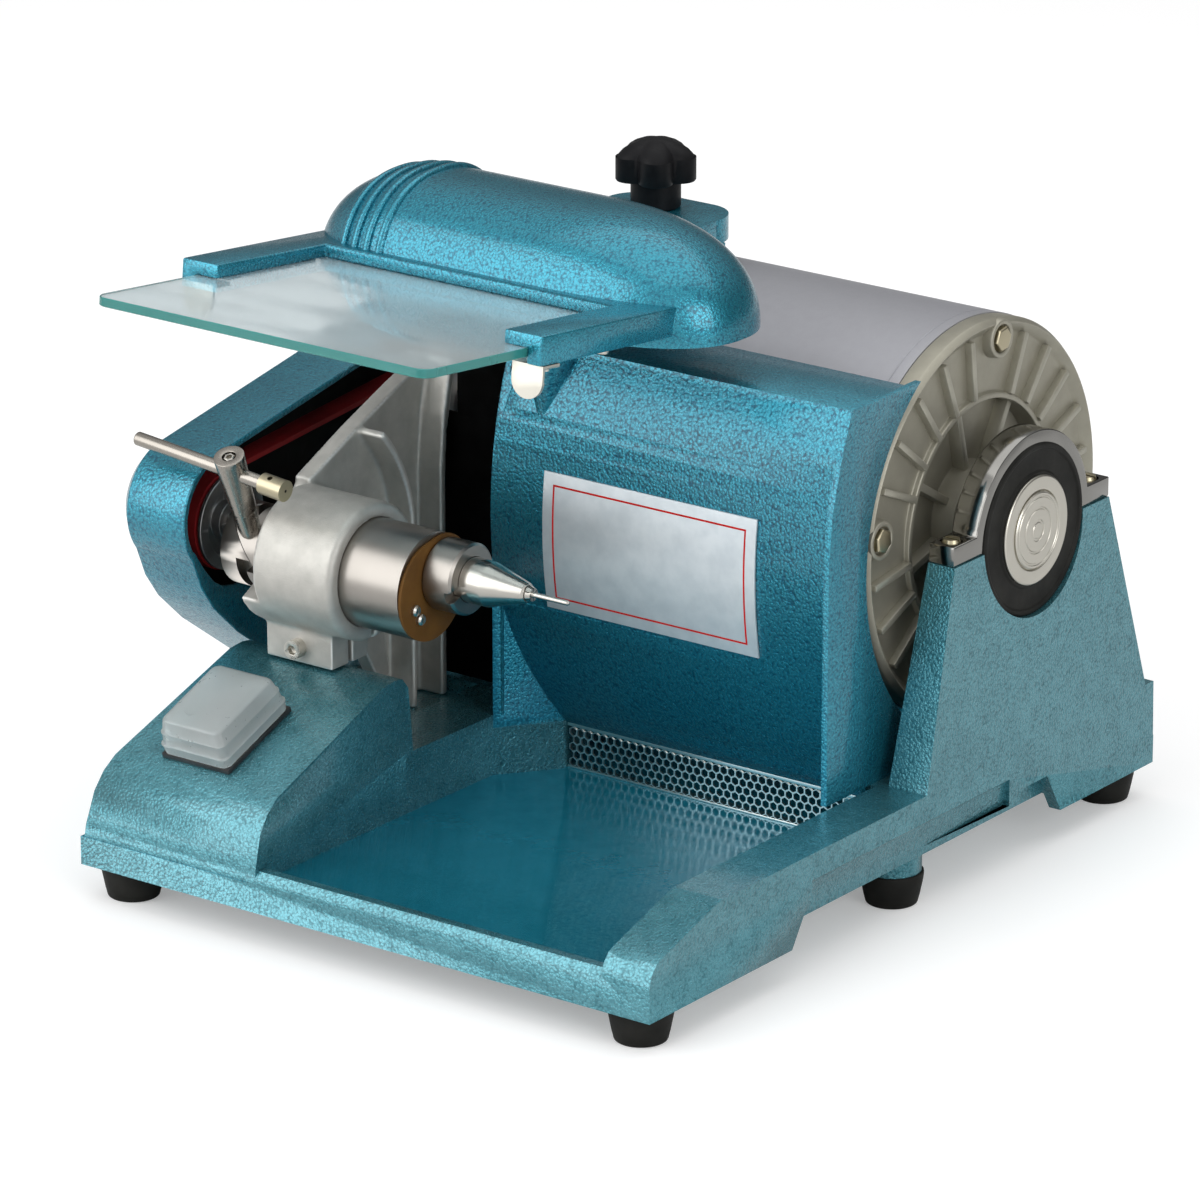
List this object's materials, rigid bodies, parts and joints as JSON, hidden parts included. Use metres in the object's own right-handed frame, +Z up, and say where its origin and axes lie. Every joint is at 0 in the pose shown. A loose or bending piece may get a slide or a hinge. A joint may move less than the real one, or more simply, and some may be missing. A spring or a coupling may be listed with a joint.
{
  "type": "dental lathe",
  "caption": "Bench lathe for dental work: motor on a cast base with dust tray, belt-driven collet spindle, cam lever and a swinging lamp hood with glass shield.",
  "frame": {"origin": "centre of the bounding box at the bottom of the feet", "axes": "+X to the machine's right along the spindle, +Y from the open tray at the front to the motor, +Z up"},
  "size_m": [0.34, 0.4037, 0.2955],
  "materials": {
    "blue_paint": "hammertone",
    "motor_paint": "fine satin",
    "cast_alu": "cast, satin",
    "cast_shield": "cast, satin",
    "steel": "turned",
    "chrome": "polished",
    "screw_steel": "zinc",
    "brassy": "turned",
    "black_rubber": "matte",
    "red_belt": "matte",
    "glass": "clear, green edge",
    "silicone": "translucent",
    "black_plastic": "moulded",
    "brown_board": "pressed board",
    "plate_silver": "printed border only",
    "red_plastic": "gloss",
    "lamp_white": "frosted",
    "iron_core": "laminated",
    "silver_disc": "satin",
    "tool_steel": "ground",
    "knob_black": "moulded"
  },
  "bodies": {
    "base": {"base_casting": "blue_paint", "rubber_feet": "black_rubber", "foot_screws": "screw_steel", "tray_screen": "silver_disc", "switch_bezel": "black_plastic", "switch_cover": "silicone", "power_gland": "black_plastic", "motor_guard": "blue_paint", "guard_screws": "screw_steel", "guard_plate": "plate_silver", "motor_shell": "motor_paint", "end_shield_right": "cast_shield", "end_shield_left": "cast_shield", "shield_bolts": "brassy", "rubber_rings": "black_rubber", "hub_discs": "silver_disc", "medallion": "silver_disc", "saddle_straps": "chrome", "strap_screws": "brassy", "stator": "iron_core", "motor_bearings": "steel", "drive_belt": "red_belt", "belt_guard": "blue_paint", "belt_guard_screws": "screw_steel", "spindle_bracket": "cast_alu", "bracket_bolts": "screw_steel", "quill_sleeve": "steel", "spindle_bearings": "steel", "dust_plate": "brown_board", "plate_screws": "screw_steel", "hood_post": "blue_paint", "post_screws": "screw_steel"},
    "rocker": {"switch_rocker": "red_plastic"},
    "rotor": {"rotor_core": "iron_core", "motor_shaft": "steel", "motor_pulley": "cast_alu"},
    "spindle": {"spindle_shaft": "steel", "nose_collar": "steel", "collet_nut": "chrome", "spindle_pulley": "cast_alu"},
    "collet_set": {"collet": "steel", "tool_pin": "tool_steel"},
    "push_sleeve": {"thrust_ring": "steel"},
    "lever": {"lever_collar": "steel", "lever_stem": "steel", "stem_screw": "screw_steel"},
    "rod": {"cross_rod": "steel", "rod_cap": "brassy"},
    "hood": {"hood_dome": "blue_paint", "hood_bracket": "blue_paint", "hood_lug": "blue_paint", "glass_shield": "glass", "glass_clips": "silver_disc", "clip_screws": "screw_steel", "lamp": "lamp_white", "lamp_shelf": "silver_disc", "switch_boss": "black_plastic"},
    "knob": {"star_knob": "knob_black", "knob_stud": "screw_steel"},
    "button": {"lamp_switch": "red_plastic"}
  },
  "joints": [
    {"name": "rotor_spin", "type": "hinge", "parent": "base", "child": "rotor", "pos_m": [-0.135, 0.09785, 0.149], "axis": [1, 0, 0], "continuous": true},
    {"name": "spindle_spin", "type": "hinge", "parent": "base", "child": "spindle", "pos_m": [-0.135, -0.08395, 0.1419], "axis": [1, 0, 0], "continuous": true},
    {"name": "lever_slide", "type": "slide", "parent": "base", "child": "push_sleeve", "axis": [1, 0, 0], "range_m": [-0.0032, 0]},
    {"name": "lever_turn", "type": "hinge", "parent": "push_sleeve", "child": "lever", "pos_m": [-0.135, -0.09015, 0.137], "axis": [1, 0, 0], "range_deg": [-12, 0]},
    {"name": "collet_draw", "type": "slide", "parent": "spindle", "child": "collet_set", "axis": [1, 0, 0], "range_m": [-0.0004, 0]},
    {"name": "rod_slide", "type": "slide", "parent": "lever", "child": "rod", "axis": [0.9961, -0.0279, -0.0832], "range_m": [-0.009, 0.015]},
    {"name": "hood_swing", "type": "hinge", "parent": "base", "child": "hood", "pos_m": [-0.04, 0.09785, 0.255], "axis": [0, 0, 1], "range_deg": [-20, 100]},
    {"name": "knob_turn", "type": "hinge", "parent": "base", "child": "knob", "pos_m": [-0.04, 0.09785, 0.27], "axis": [0, 0, 1], "range_deg": [0, 270]},
    {"name": "power_rocker", "type": "hinge", "parent": "base", "child": "rocker", "pos_m": [-0.087, -0.14927, 0.07002], "axis": [1, 0, 0], "range_deg": [-8, 0]},
    {"name": "lamp_button", "type": "slide", "parent": "hood", "child": "button", "axis": [0, 0, 1], "range_m": [0, 0.0015], "stiffness_N_per_m": 200}
  ],
  "couplings": [
    {"joint": "spindle_spin", "follows": "rotor_spin", "ratio": 1.4},
    {"joint": "lever_slide", "follows": "lever_turn", "m_per_rad": 0.0148},
    {"joint": "collet_draw", "follows": "lever_turn", "m_per_rad": 0.0018}
  ]
}
